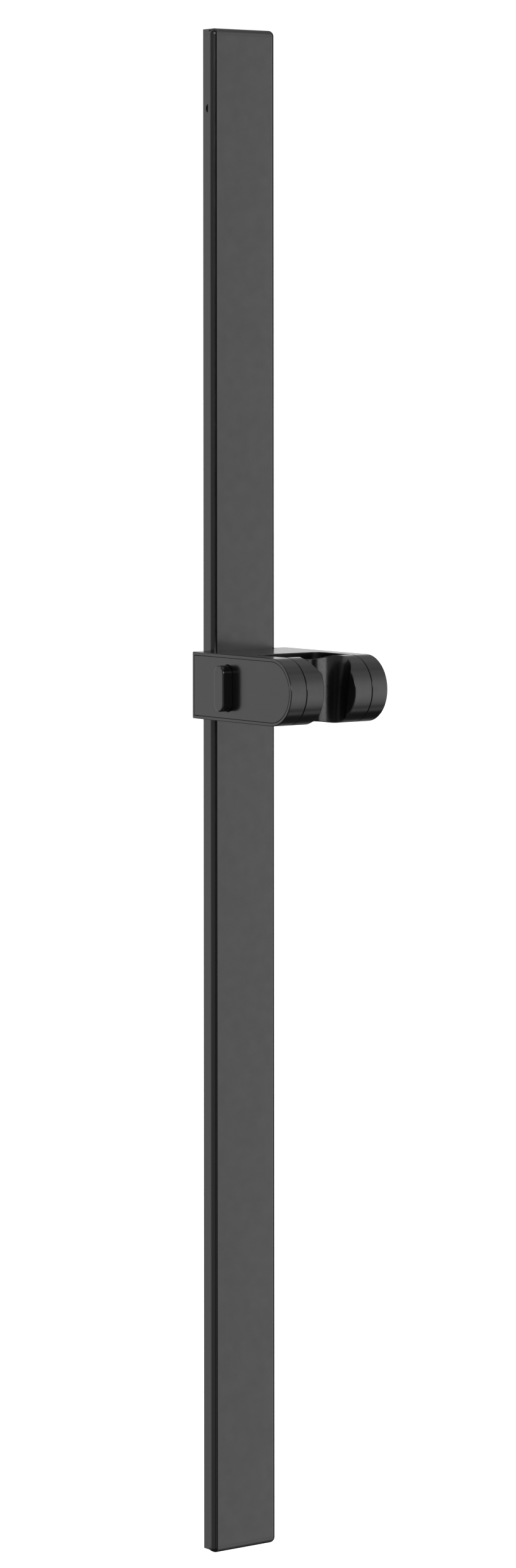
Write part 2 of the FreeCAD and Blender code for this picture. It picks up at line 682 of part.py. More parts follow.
# Housing: a round-nosed block with soft edges, cut for rail, shoes, brake, hose opening, covers and pivots
def make_housing():
    body = slider_body("slider_housing")
    block = nose_outline(body, "housing_block", "nose_radius", "back_reach")
    pad(body, block, "slider_width", symmetric=True)
    back = number("back_reach")
    half = number("slider_half")

    def back_corner(edge):
        return upright(edge) and near(edge.BoundBox.YMin, back)

    round_edges(body, "housing_back_round", "back_round", back_corner)

    def side_rim(edge):
        box = edge.BoundBox
        return near(abs(box.XMin), half) and box.XLength < 1e-4 and not upright(edge)

    round_edges(body, "housing_soft_edge", "soft_edge", side_rim)
    slot = [
        ("slide_half", "-slide_gap"),
        ("slide_half", "slide_back"),
        ("neck_half", "slide_back"),
        ("neck_half", "back_reach+back_round"),
        ("-neck_half", "back_reach+back_round"),
        ("-neck_half", "slide_back"),
        ("-slide_half", "slide_back"),
        ("-slide_half", "-slide_gap"),
    ]
    rail_slot = outline(body, "housing_rail_slot", "XY_Plane", ("-slide_half", "-slide_gap"), slot)
    pocket(body, rail_slot, symmetric=True)
    for side, word in (("-", "left"), ("", "right")):
        points = shoe_steps(side)
        recess = outline(body, "housing_shoe_" + word, "XY_Plane", points[-1], points)
        pocket(body, recess, "shoe_height", symmetric=True)
    hollow = [
        ("-cavity_back_in", "-cavity_half"),
        ("-back_wall", "-cavity_half_in", "-cavity_back_in", "-cavity_half_in", 1),
        ("-back_wall", "cavity_half_in"),
        ("-cavity_back_in", "cavity_half", "-cavity_back_in", "cavity_half_in", 1),
        ("-cavity_front_in", "cavity_half"),
        ("-cavity_front", "cavity_half_in", "-cavity_front_in", "cavity_half_in", 1),
        ("-cavity_front", "-cavity_half_in"),
        ("-cavity_front_in", "-cavity_half", "-cavity_front_in", "-cavity_half_in", 1),
    ]
    start = ("-cavity_front_in", "-cavity_half")
    cavity = outline(body, "housing_cavity", "YZ_Plane", start, hollow)
    pocket(body, cavity, symmetric=True)
    rib = rectangle(
        body, "housing_rib", "YZ_Plane", "-cavity_front", "-back_wall", "-cavity_half", "cavity_half", "-rib_side"
    )
    pad(body, rib, "rib_thick")
    guide = circles(body, "housing_rod_guide", "YZ_Plane", [("-button_reach", "0", "rod_bore")], "-rib_side")
    pocket(body, guide, "rib_thick", flipped=True)
    window = rectangle(
        body, "housing_window", "XZ_Plane", "-window_left", "window_right", "-window_rise", "window_rise", "back_wall"
    )
    pocket(body, window, "back_wall")
    mouth = [
        ("-opening_in", "-opening_reach"),
        ("-cheek_inner", "-opening_bend", "-opening_in", "-opening_bend", 1),
        ("-cheek_inner", "-nose_front"),
        ("cheek_inner", "-nose_front"),
        ("cheek_inner", "-opening_bend"),
        ("opening_in", "-opening_reach", "opening_in", "-opening_bend", 1),
    ]
    opening = outline(body, "housing_opening", "XY_Plane", ("opening_in", "-opening_reach"), mouth)
    pocket(body, opening, symmetric=True)
    inner = number("cheek_inner") + 1e-3
    front = -number("opening_reach") + 1e-3
    radius = number("nose_radius")
    axis = -number("axis_reach")

    def mouth_rim(edge):
        box = edge.BoundBox
        if box.XMin < -inner or box.XMax > inner or box.YMax > front:
            return False
        for point in edge.discretize(7):
            reach = max(0.0, axis - point.y)
            if abs((reach**2 + point.z**2) ** 0.5 - radius) > 1e-3:
                return False
        return True

    round_edges(body, "housing_mouth_edge", "seam_round", mouth_rim)
    for side, word in (("-", "left"), ("", "right")):
        inward = side == "-"
        recess = nose_outline(body, "housing_recess_" + word, "recess_radius", "recess_back", side + "slider_half")
        pocket(body, recess, "cover_thick", flipped=inward)
        holes = [(y, z, "peg_hole") for y, z in PEGS]
        pegs = circles(body, "housing_pegs_" + word, "YZ_Plane", holes, side + "cover_inner")
        pocket(body, pegs, "peg_hole_depth", flipped=inward)
        seat = circles(
            body, "housing_head_" + word, "YZ_Plane", [("-axis_reach", "0", "head_pocket")], side + "cover_inner"
        )
        pocket(body, seat, "cover_inner-head_floor", flipped=inward)
        bore = circles(
            body, "housing_pivot_" + word, "YZ_Plane", [("-axis_reach", "0", "pivot_bore")], side + "head_floor"
        )
        pocket(body, bore, "head_wall", flipped=inward)
    pin = circles(body, "housing_pin", "XY_Plane", [("lever_side", "-lever_reach", "pin_size")], "-nose_radius")
    pocket(body, pin, "pin_length", flipped=True)
    return body


# Side cover: a plate set flush in the rim, on four pegs; the left one is pierced for the button
def make_cover(label, side):
    body = slider_body(label)
    inward = side == "-"
    plate = nose_outline(body, label + "_plate", "cover_radius", "cover_back", side + "cover_inner")
    pad(body, plate, "cover_thick", flipped=inward)
    places = [(y, z, "peg_size") for y, z in PEGS]
    pegs = circles(body, label + "_pegs", "YZ_Plane", places, side + "cover_inner")
    pad(body, pegs, "peg_length", flipped=not inward)
    if inward:
        hole = stadium(body, label + "_button_hole", "hole_near", "hole_far", side + "slider_half")
        pocket(body, hole, "cover_thick", flipped=True)
    face = number("slider_half")

    def outer_rim(edge):
        box = edge.BoundBox
        return near(abs(box.XMin), face) and near(abs(box.XMax), face)

    round_edges(body, label + "_soft_edge", "cover_round", outer_rim)
    return body


# Release button: a round-ended cap with a flange behind the cover and a seat for the push rod
def make_button():
    body = slider_body("release_button")
    cap = stadium(body, "button_cap", "button_near", "button_far", "-button_face")
    pad(body, cap, "button_length")
    face = -number("button_face")

    def face_rim(edge):
        return near(edge.BoundBox.XMin, face) and near(edge.BoundBox.XMax, face)

    round_edges(body, "button_soft_edge", "button_round", face_rim)
    flange = stadium(body, "button_flange", "flange_near", "flange_far", "-flange_inner")
    pad(body, flange, "flange_thick", flipped=True)
    seat = circles(body, "button_seat", "YZ_Plane", [("-button_reach", "0", "rod_size")], "-flange_inner")
    pocket(body, seat, "rod_seat")
    return body


# Push rod: turned from round bar, with a neck that carries the lever's fork
def make_rod():
    body = slider_body("push_rod", "rod_line")
    half = [
        ("-rod_left", "rod_radius"),
        ("neck_left", "rod_radius"),
        ("neck_left", "neck_radius"),
        ("neck_right", "neck_radius"),
        ("neck_right", "rod_radius"),
        ("rod_right", "rod_radius"),
        ("rod_right", "0"),
        ("-rod_left", "0"),
    ]
    sketch = outline(body, "rod_half", "XY_Plane", ("-rod_left", "0"), half)
    spin(body, sketch, "Revolution", "H_Axis")
    return body


# Return spring round the push rod, between the button's flange and the guide rib
def make_spring():
    body = slider_body("return_spring", "rod_line")
    wire = circles(body, "spring_wire_section", "XY_Plane", [("-spring_start", "spring_radius", "spring_wire")])
    coil = body.newObject("PartDesign::AdditiveHelix", "spring_coil_sweep")
    coil.Profile = wire
    coil.ReferenceAxis = (wire, ["H_Axis"])
    coil.Mode = "pitch-turns-angle"
    coil.setExpression("Pitch", "Sheet.spring_pitch")
    coil.setExpression("Turns", "Sheet.spring_turns")
    doc.recompute()
    return body


# Brake lever: a bell crank, its fork on the push rod and its other arm behind the brake pad
def make_lever():
    body = slider_body("brake_lever")
    steps = [
        ("pad_right", "-pad_seat"),
        ("pad_right", "-arm_back"),
        ("fork_side_out", "-arm_back"),
        ("fork_side_out", "-fork_end"),
        ("fork_side_in", "-fork_end"),
        ("fork_side_in", "-arm_front"),
        ("-pad_left", "-arm_tip"),
        ("-pad_left", "-pad_seat"),
    ]
    arms = outline(body, "lever_arms", "XY_Plane", ("-pad_left", "-pad_seat"), steps)
    pad(body, arms, "arm_height", symmetric=True)
    hub = circles(body, "lever_hub", "XY_Plane", [("lever_side", "-lever_reach", "hub_size")])
    pad(body, hub, "hub_height", symmetric=True)
    bore = circles(body, "lever_bore", "XY_Plane", [("lever_side", "-lever_reach", "pin_bore")])
    pocket(body, bore, symmetric=True)
    slot = [
        ("-fork_past", "-fork_radius"),
        ("-button_reach", "-fork_radius"),
        ("-button_reach", "fork_radius", "-button_reach", "0", 1),
        ("-fork_past", "fork_radius"),
    ]
    fork = outline(body, "lever_fork", "YZ_Plane", ("-fork_past", "fork_radius"), slot)
    pocket(body, fork, symmetric=True)
    return body


def make_pin():
    body = slider_body("lever_pin")
    sketch = circles(body, "pin_round", "XY_Plane", [("lever_side", "-lever_reach", "pin_size")], "-nose_radius")
    pad(body, sketch, "pin_length")
    return body


def make_pad():
    body = slider_body("brake_pad")
    sketch = rectangle(
        body, "pad_face", "XZ_Plane", "-pad_left", "pad_right", "-pad_rise", "pad_rise", "pad_gap"
    )
    pad(body, sketch, "pad_thick")
    return body


# Outline of the bore in plan: most of a circle, with a splayed mouth to the front
def bore_plan(body, name, lips, offset):
    steps = [
        ("-mouth_far", "-nose_front"),
        ("mouth_far", "-nose_front"),
        ("mouth_half", "-" + lips),
        ("-mouth_half", "-" + lips, "0", "-cone_reach", 1),
    ]
    return outline(body, name, "XY_Plane", ("-mouth_half", "-" + lips), steps, offset)


# Holder: a round barrel between the cheeks with a conical bore, open to the front, for the handset's cone
def make_rotor():
    body = slider_body("holder_rotor")
    barrel = circles(body, "rotor_barrel", "YZ_Plane", [("-axis_reach", "0", "slider_height")])
    pad(body, barrel, "rotor_length", symmetric=True)
    upper = bore_plan(body, "rotor_bore_top", "mouth_top", "cone_top")
    lower = bore_plan(body, "rotor_bore_bottom", "mouth_bottom", "-cone_top")
    doc.recompute()
    loft_cut(body, upper, lower)
    wide = number("rotor_half") - 1e-3
    radius = number("nose_radius")
    axis = -number("axis_reach")

    def on_barrel(edge):
        far = 0.0
        for point in edge.discretize(9):
            reach = ((point.y - axis) ** 2 + point.z**2) ** 0.5
            far = max(far, abs(reach - radius))
        return far < 1e-3

    def bore_edge(edge):
        box = edge.BoundBox
        return box.XMin > -wide and box.XMax < wide

    round_edges(body, "rotor_lead_in", "lead_round", bore_edge)

    def end_rim(edge):
        return on_barrel(edge) and edge.BoundBox.XLength < 1e-4 and abs(edge.BoundBox.XMin) > wide

    round_edges(body, "rotor_soft_edge", "seam_round", end_rim)
    for side, word in (("-", "left"), ("", "right")):
        inward = side == "-"
        sink = circles(
            body, "rotor_sink_" + word, "YZ_Plane", [("-axis_reach", "0", "washer_size")], side + "rotor_half"
        )
        pocket(body, sink, "washer_sink", flipped=inward)
        thread = circles(
            body, "rotor_thread_" + word, "YZ_Plane", [("-axis_reach", "0", "pivot_thread")], side + "washer_seat"
        )
        pocket(body, thread, "thread_depth", flipped=inward)
    return body


# Pivot screws: one each side, with a bearing shoulder in the cheek and a hexagon socket
def make_pivots():
    body = slider_body("pivot_screws", "holder_line")
    half = [
        ("thread_end", "thread_radius"),
        ("washer_seat", "thread_radius"),
        ("washer_seat", "pivot_radius"),
        ("head_under", "pivot_radius"),
        ("head_under", "head_radius"),
        ("head_top", "head_radius"),
        ("head_top", "0"),
        ("thread_end", "0"),
    ]
    sketch = outline(body, "pivot_half", "XY_Plane", ("thread_end", "0"), half)
    turned = spin(body, sketch, "Revolution", "H_Axis")
    socket = hexagon(body, "pivot_hex", "hex_tip", "hex_edge", "hex_half", "0", "head_top")
    cut = pocket(body, socket, "hex_depth")
    mirror(body, "pivot_pair", [turned, cut])
    return body


def make_rings(label, size, start, thick):
    body = slider_body(label, "holder_line")
    sketch = circles(body, label + "_ring", "YZ_Plane", [("0", "0", size), ("0", "0", "ring_bore")], start)
    ring = pad(body, sketch, thick)
    mirror(body, label + "_pair", [ring])
    return body


nodes = [
    make_rail(),
    make_cap("top_end_cap", "cap_level", False),
    make_cap("bottom_end_cap", "-cap_level", True),
    make_bracket("upper_wall_bracket", "fix_level", True),
    make_bracket("lower_wall_bracket", "-fix_level", False),
    make_grub(),
    make_housing(),
    make_cover("left_side_cover", "-"),
    make_cover("right_side_cover", ""),
    make_shoe("left_guide_shoe", "-"),
    make_shoe("right_guide_shoe", ""),
    make_button(),
    make_rod(),
    make_spring(),
    make_lever(),
    make_pin(),
    make_pad(),
    make_rotor(),
    make_pivots(),
    make_rings("friction_washers", "washer_size", "washer_seat", "washer_thick"),
    make_rings("spring_washers", "wave_size", "head_floor", "wave_thick"),
]
doc.recompute()

# Nothing is written unless every object and every solid is sound
for item in doc.Objects:
    if "Invalid" in item.State or "Error" in item.State:
        raise RuntimeError("%s is %s" % (item.Label, item.State))
for body in nodes:
    if body.Shape.isNull() or not body.Shape.isValid() or not body.Shape.Solids:
        raise RuntimeError("%s has no sound shape" % body.Label)
os.makedirs("parts", exist_ok=True)
for body in nodes:
    body.Shape.exportStep("parts/%s.step" % body.Label)
    box = body.Shape.BoundBox
    print(
        "%-20s solids %d volume %9.1f  x %.2f..%.2f  y %.2f..%.2f  z %.2f..%.2f"
        % (
            body.Label,
            len(body.Shape.Solids),
            body.Shape.Volume,
            box.XMin,
            box.XMax,
            box.YMin,
            box.YMax,
            box.ZMin,
            box.ZMax,
        )
    )
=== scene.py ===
# %% [markdown]
# This is a shower slide rail: a flat, soft-edged rail that lies on the wall, and a holder that slides on
# it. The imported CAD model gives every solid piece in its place, in metres, and moves it with its joints.
# The pieces could be modelled again here, but then two sets of sizes would have to agree. So the frame is
# loaded first, and later cells ask it where a piece is. They add what a camera sees beyond the solids:
# the finishes, a studio round them, and the threads and the spring, which are too fine for the solids.

# %% Load the frame
import math

import bpy
import numpy as np
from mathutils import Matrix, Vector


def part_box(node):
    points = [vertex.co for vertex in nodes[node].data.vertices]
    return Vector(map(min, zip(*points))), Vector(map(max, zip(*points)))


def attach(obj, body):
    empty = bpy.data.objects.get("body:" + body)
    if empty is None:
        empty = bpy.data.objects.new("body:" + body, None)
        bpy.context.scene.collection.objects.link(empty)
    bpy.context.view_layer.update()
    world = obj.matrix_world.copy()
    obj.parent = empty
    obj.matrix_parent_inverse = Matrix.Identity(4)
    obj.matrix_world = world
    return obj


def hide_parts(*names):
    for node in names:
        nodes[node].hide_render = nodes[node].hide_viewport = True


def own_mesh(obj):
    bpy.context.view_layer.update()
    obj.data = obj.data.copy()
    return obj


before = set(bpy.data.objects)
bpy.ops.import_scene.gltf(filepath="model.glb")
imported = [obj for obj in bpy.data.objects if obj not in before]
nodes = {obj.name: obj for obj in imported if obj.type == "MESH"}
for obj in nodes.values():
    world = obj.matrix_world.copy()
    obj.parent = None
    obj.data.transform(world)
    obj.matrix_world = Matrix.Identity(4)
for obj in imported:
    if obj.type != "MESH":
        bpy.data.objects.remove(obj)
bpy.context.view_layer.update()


# %% [markdown]
# The photograph looks at the rail from its left front, level and from far away, so upright edges stay
# upright. A camera that is tilted down at the rail would make them lean together. A level camera with a
# vertical lens shift doesn't: the shift moves the frame down the rail while the camera stays straight.
# The turn, the place, the focal length and the shift come from fitting the rail's edges. So does the roll
# of a small part of a degree, because the rail isn't quite upright in the picture.

# %% Camera
VIEW_TURN = math.radians(36.22)
VIEW_ROLL = math.radians(0.043)
VIEW_PLACE = (-1.6734, -2.3134, 0.2595)
FRAME_TALL = 2576
FOCAL_PIXELS = 7882.6
HORIZON_ROW = 576.2
SENSOR_TALL = 36.0

lens = bpy.data.cameras.new("studio_camera")
lens.sensor_fit = "VERTICAL"
lens.sensor_height = SENSOR_TALL
lens.lens = SENSOR_TALL * FOCAL_PIXELS / FRAME_TALL
lens.shift_y = -(FRAME_TALL / 2 - HORIZON_ROW) / FRAME_TALL
camera = bpy.data.objects.new("studio_camera", lens)
camera.location = VIEW_PLACE
camera.rotation_euler = (math.pi / 2, VIEW_ROLL, -VIEW_TURN)
bpy.context.scene.collection.objects.link(camera)
bpy.context.scene.camera = camera
print("lens mm:", round(lens.lens, 2), "shift:", round(lens.shift_y, 4))

# %% [markdown]
# A dark satin coat shows hardly any colour of its own: what the eye reads as its grey is the studio
# mirrored in it. The rail's front mirrors a large soft box at the right, and its left side mirrors the
# white background. The narrow rounded edge between them turns towards the unlit camera side, which draws
# the dark line along it. A strong key box just above level draws the bright strip inside the bore, and
# the overhead box lights the top faces. The two fills and the back wall are there for other views, from
# the right, the front and behind. Area lamps could do all this, but a world whose brightness depends on
# direction gives the same soft boxes without noise, and each box is one row of a list, in degrees as
# seen from the rail.

# %% Soft boxes
SOFT_BOXES = [
    # title, (left of the front, half width, soft edge), (above level, half height, soft edge), strength
    ("right front box", (-46.5, 13.5, 4), (-4, 26, 22), 1.6),
    ("right wall", (-46.5, 13.5, 4), (2, 48, 8), 0.9),
    ("right upper wall", (-72, 14, 6), (45, 18, 8), 0.35),
    ("right floor", (-72, 9, 6), (-52, 12, 8), 0.7),
    ("right back glow", (-130, 42, 10), (32, 24, 10), 0.35),
    ("right horizon", (-153, 16, 4), (9, 8, 2), 0.9),
    ("right low glow", (-150, 20, 5), (-20, 14, 8), 0.2),
    ("left background", (138, 20, 5), (18, 42, 25), 1.3),
    ("left reflector", (72, 45, 12), (0, 40, 14), 0.5),
    ("key box", (18, 20, 4), (15, 7, 1.5), 7.4),
    ("overhead box", (0, 180, 0.01), (72, 25, 12), 0.5),
    ("right side fill", (-92, 10, 6), (-10, 12, 6), 0.5),
    ("front low fill", (0, 7, 5), (-18, 9, 6), 0.9),
    ("back wall", (180, 18, 6), (-8, 20, 8), 1.1),
]
ROOM_LIGHT = 0.04
BACKGROUND_LIGHT = 1.1
WHITE = (1.0, 1.0, 1.0, 1.0)
print("soft boxes:", ", ".join(title for title, *_ in SOFT_BOXES))

# %% [markdown]
# A world's nodes know one thing about each point of the studio: the direction in which it lies. Two
# angles are worked out from it, how far left of the front and how far above level. A box is then where
# both angles are near their middles, and its soft edge is a smooth step down. A picture of a studio could
# be wrapped round the scene instead, but numbers can be changed one at a time, until the greys on the
# coat are right.

# %% Directions and soft edges
world = bpy.data.worlds.new("studio")
bpy.context.scene.world = world
world.use_nodes = True
sky = world.node_tree
sky.nodes.clear()


def reckon(operation, first, second=0.0, third=0.0):
    """One step of arithmetic in the world's nodes: each value is a number or another node's output."""
    step = sky.nodes.new("ShaderNodeMath")
    step.operation = operation
    for socket, value in zip(step.inputs, (first, second, third)):
        if isinstance(value, bpy.types.NodeSocket):
            sky.links.new(value, socket)
        else:
            socket.default_value = value
    return step.outputs["Value"]


def inside(angle, middle, half, soft):
    """1 where an angle in degrees is nearer to the middle than half, with a smooth fall to 0 there."""
    away = reckon("ABSOLUTE", reckon("WRAP", reckon("SUBTRACT", angle, middle), 180.0, -180.0))
    fade = sky.nodes.new("ShaderNodeMapRange")
    fade.interpolation_type = "SMOOTHSTEP"
    fade.inputs["From Min"].default_value = half + soft
    fade.inputs["From Max"].default_value = half - soft
    sky.links.new(away, fade.inputs["Value"])
    return fade.outputs["Result"]


direction = sky.nodes.new("ShaderNodeSeparateXYZ")
sky.links.new(sky.nodes.new("ShaderNodeTexCoord").outputs["Generated"], direction.inputs["Vector"])
to_right, to_back, to_top = direction.outputs
to_left = reckon("MULTIPLY", to_right, -1.0)
to_front = reckon("MULTIPLY", to_back, -1.0)
azimuth = reckon("DEGREES", reckon("ARCTAN2", to_left, to_front))
height = reckon("DEGREES", reckon("ARCSINE", to_top))
print("steps for the two angles:", len(sky.nodes))

# %% Studio light
total = ROOM_LIGHT
for _, sideways, upward, strength in SOFT_BOXES:
    box = reckon("MULTIPLY", inside(azimuth, *sideways), inside(height, *upward))
    total = reckon("MULTIPLY_ADD", box, strength, total)
mirrored = sky.nodes.new("ShaderNodeBackground")
mirrored.inputs["Color"].default_value = WHITE
sky.links.new(total, mirrored.inputs["Strength"])
seen = sky.nodes.new("ShaderNodeBackground")
seen.inputs["Color"].default_value = WHITE
seen.inputs["Strength"].default_value = BACKGROUND_LIGHT
ray = sky.nodes.new("ShaderNodeLightPath")
choose = sky.nodes.new("ShaderNodeMixShader")
sky.links.new(ray.outputs["Is Camera Ray"], choose.inputs["Fac"])
sky.links.new(mirrored.outputs["Background"], choose.inputs[1])
sky.links.new(seen.outputs["Background"], choose.inputs[2])
sky.links.new(choose.outputs["Shader"], sky.nodes.new("ShaderNodeOutputWorld").inputs["Surface"])
bpy.context.scene.view_settings.view_transform = "Standard"
print("steps for the whole studio:", len(sky.nodes))

# %% [markdown]
# The rail hangs on a wall in use, so the floor is a good way below it, as pale as the background and
# without an edge in sight. It glows a little to stay pale. The coat doesn't mirror it, because some soft
# boxes already stand where it would be mirrored. A plane from Blender's menu would do, but the screws
# further down need surfaces from numpy grids anyway. So the helper for those is made here, and the floor
# is its simplest use: evenly spaced points across and along.

# %% Floor
def surface(name, points, around=False, ends=()):
    """Mesh object from a grid of points with shape (rows, columns, 3): each cell of the grid is one face.
    around joins the last column to the first; ends are two points that close the first and the last row."""
    rows, columns = points.shape[:2]
    index = np.arange(rows * columns).reshape(rows, columns)
    beside = np.roll(index, -1, axis=1)
    here, right = (index, beside) if around else (index[:, :-1], beside[:, :-1])
    faces = np.stack([here[:-1], here[1:], right[1:], right[:-1]], axis=-1).reshape(-1, 4).tolist()
    vertices = points.reshape(-1, 3)
    if len(ends):
        first = np.full_like(here[0], rows * columns)
        faces += np.stack([first, here[0], right[0]], axis=-1).tolist()
        faces += np.stack([here[-1], first + 1, right[-1]], axis=-1).tolist()
        vertices = np.concatenate([vertices, ends])
    mesh = bpy.data.meshes.new(name)
    mesh.from_pydata(vertices.tolist(), [], faces)
    mesh.update()
    piece = bpy.data.objects.new(name, mesh)
    bpy.context.scene.collection.objects.link(piece)
    return piece


FLOOR_LEVEL = -0.9
FLOOR_HALF = 90.0
FLOOR_POINTS = 5
FLOOR_COLOUR = (0.9, 0.9, 0.9, 1.0)
FLOOR_ROUGHNESS = 0.9
FLOOR_GLOW = 0.6

steps = np.linspace(-FLOOR_HALF, FLOOR_HALF, FLOOR_POINTS)
across, along = np.meshgrid(steps, steps[::-1])
floor = surface("floor", np.stack([across, along, np.full_like(across, FLOOR_LEVEL)], axis=-1))
pale = bpy.data.materials.new("pale_floor")
pale.use_nodes = True
pale_shader = pale.node_tree.nodes["Principled BSDF"]
pale_shader.inputs["Base Color"].default_value = FLOOR_COLOUR
pale_shader.inputs["Roughness"].default_value = FLOOR_ROUGHNESS
pale_shader.inputs["Emission Color"].default_value = WHITE
pale_shader.inputs["Emission Strength"].default_value = FLOOR_GLOW
floor.data.materials.append(pale)
floor.visible_glossy = False
print("floor at mm:", 1000 * FLOOR_LEVEL)

# %% [markdown]
# Every finish below is built from the same few steps: a shader, a noise that is read in the piece's own
# metres, and from that noise small changes of colour and roughness and a fine bump. A texture could be
# painted for each piece, but it would stretch on the long rail. Object coordinates keep the grain at its
# real size on each piece, however long the piece is.

# %% Shader and grain
def finish(name, colour, roughness, metallic=0.0):
    """Material with one shader, whose own values are the finish's middle colour, roughness and metal."""
    material = bpy.data.materials.new(name)
    material.use_nodes = True
    shader = material.node_tree.nodes["Principled BSDF"]
    shader.inputs["Base Color"].default_value = (*colour, 1.0)
    shader.inputs["Roughness"].default_value = roughness
    shader.inputs["Metallic"].default_value = metallic
    return material, shader


def grain(material, size_mm, stretch=(1, 1, 1), detail=3.0):
    """Noise between 0 and 1 whose spots are size_mm across, longer by stretch along x, y and z."""
    tree = material.node_tree
    place = tree.nodes.new("ShaderNodeTexCoord")
    scale = tree.nodes.new("ShaderNodeMapping")
    scale.inputs["Scale"].default_value = [1000.0 / size_mm / s for s in stretch]
    noise = tree.nodes.new("ShaderNodeTexNoise")
    noise.inputs["Scale"].default_value = 1.0
    noise.inputs["Detail"].default_value = detail
    tree.links.new(place.outputs["Object"], scale.inputs["Vector"])
    tree.links.new(scale.outputs["Vector"], noise.inputs["Vector"])
    return noise.outputs["Fac"]


# %% From grain to colour, roughness and bump
NOISE_LOW, NOISE_HIGH = 0.3, 0.7


def tint(material, value, shader, dark, light):
    """Carries a noise to the shader's colour, between two colours."""
    tree = material.node_tree
    ramp = tree.nodes.new("ShaderNodeValToRGB")
    for stop, position, colour in zip(ramp.color_ramp.elements, (NOISE_LOW, NOISE_HIGH), (dark, light)):
        stop.position = position
        stop.color = (*colour, 1.0)
    tree.links.new(value, ramp.inputs["Fac"])
    tree.links.new(ramp.outputs["Color"], shader.inputs["Base Color"])


def vary(material, value, shader, low, high):
    """Carries a noise to the shader's roughness, spread between low and high."""
    tree = material.node_tree
    spread = tree.nodes.new("ShaderNodeMapRange")
    spread.inputs["From Min"].default_value = NOISE_LOW
    spread.inputs["From Max"].default_value = NOISE_HIGH
    spread.inputs["To Min"].default_value = low
    spread.inputs["To Max"].default_value = high
    tree.links.new(value, spread.inputs["Value"])
    tree.links.new(spread.outputs["Result"], shader.inputs["Roughness"])


def relief(material, value, shader, height_mm, strength):
    """Raises the surface by a noise, as a bump of height_mm."""
    tree = material.node_tree
    bump = tree.nodes.new("ShaderNodeBump")
    bump.inputs["Strength"].default_value = strength
    bump.inputs["Distance"].default_value = height_mm / 1000.0
    tree.links.new(value, bump.inputs["Height"])
    tree.links.new(bump.outputs["Normal"], shader.inputs["Normal"])


def dress(material, *names):
    """Puts a finish on CAD pieces by name."""
    for name in names:
        for place in nodes[name].material_slots:
            place.material = material
    print(material.name, "on", ", ".join(names))


print("most of a noise lies between", NOISE_LOW, "and", NOISE_HIGH)

# %% [markdown]
# The rail is an aluminium extrusion with a satin black powder coat. Powder flows a little before it sets,
# which leaves a very fine orange peel: spots of about a millimetre, only microns high. A paint with
# visible grain would be wrong here, so the bump is low and most of the detail is in the roughness.

# %% Coat on the aluminium rail
COAT_BLACK = (0.003, 0.003, 0.003)
COAT_DEEP = (0.0025, 0.0025, 0.0025)
COAT_PALE = (0.004, 0.004, 0.0041)
rail_coat, shader = finish("satin_coat_on_aluminium", COAT_BLACK, 0.17)
tint(rail_coat, grain(rail_coat, 35, (1, 1, 4)), shader, COAT_DEEP, COAT_PALE)
vary(rail_coat, grain(rail_coat, 6), shader, 0.15, 0.19)
relief(rail_coat, grain(rail_coat, 1.2), shader, 0.004, 0.5)
dress(rail_coat, "rail_profile")

# %% [markdown]
# The caps, the slider, its covers, the button and the barrel are moulded plastic with the same coat. The
# rail's finish could be used again, but a moulding isn't drawn out along its length and its gloss is a
# touch lower. So its spots are round and smaller, and its roughness a little higher.

# %% Coat on the moulded pieces
mould_coat, shader = finish("satin_coat_on_plastic", COAT_BLACK, 0.2)
tint(mould_coat, grain(mould_coat, 14), shader, COAT_DEEP, COAT_PALE)
vary(mould_coat, grain(mould_coat, 4), shader, 0.19, 0.22)
relief(mould_coat, grain(mould_coat, 0.8), shader, 0.003, 0.5)
dress(mould_coat, "top_end_cap", "bottom_end_cap", "slider_housing", "left_side_cover", "right_side_cover")
dress(mould_coat, "release_button", "holder_rotor")

# %% [markdown]
# Behind the rail the wall brackets are plain drawn aluminium: bright, with fine lines along the draw. An
# anisotropic shader would only smear the light, without lines. Stretching the noise along the rail turns
# its round spots into lines, which are there from close by too.

# %% Drawn aluminium of the brackets
drawn, shader = finish("drawn_aluminium", (0.55, 0.56, 0.57), 0.34, 1.0)
tint(drawn, grain(drawn, 2, (1, 1, 30)), shader, (0.50, 0.51, 0.52), (0.60, 0.61, 0.62))
vary(drawn, grain(drawn, 0.7, (1, 1, 60)), shader, 0.26, 0.42)
relief(drawn, grain(drawn, 0.5, (1, 1, 80)), shader, 0.004, 0.4)
dress(drawn, "upper_wall_bracket", "lower_wall_bracket")

# %% [markdown]
# The screws, pins, rod, spring and spring washers are stainless steel. Turned steel has fine rings round
# its axis. A wave texture could draw them, but evenly, as no cutter does. Most of these pieces lie along
# x, so a noise that is short along x and long across it gives uneven rings.

# %% Turned steel
turned, shader = finish("turned_steel", (0.45, 0.45, 0.46), 0.3, 1.0)
tint(turned, grain(turned, 3), shader, (0.42, 0.42, 0.43), (0.48, 0.48, 0.49))
vary(turned, grain(turned, 0.25, (1, 12, 12)), shader, 0.22, 0.38)
relief(turned, grain(turned, 0.2, (1, 15, 15)), shader, 0.003, 0.4)
dress(turned, "push_rod", "lever_pin", "spring_washers")

# %% [markdown]
# The solids leave the screws plain, so their threads are made here. A thread is a ridge that climbs one
# pitch a turn: its height depends on a single number, the distance along the screw in pitches less the
# share of a turn. A cutter swept along a helix would need a boolean for each screw. A grid of angle and
# length takes the formula as it stands, and the socket, the rims and the tip are just more rows of the
# same grid, so the skin stays closed.

# %% Rows of a screw
ANGLES_A_TURN = 72
ROWS_A_PITCH = 24
THREAD_DEPTH = 0.6
TURN = np.linspace(0.0, 2 * np.pi, ANGLES_A_TURN, endpoint=False)


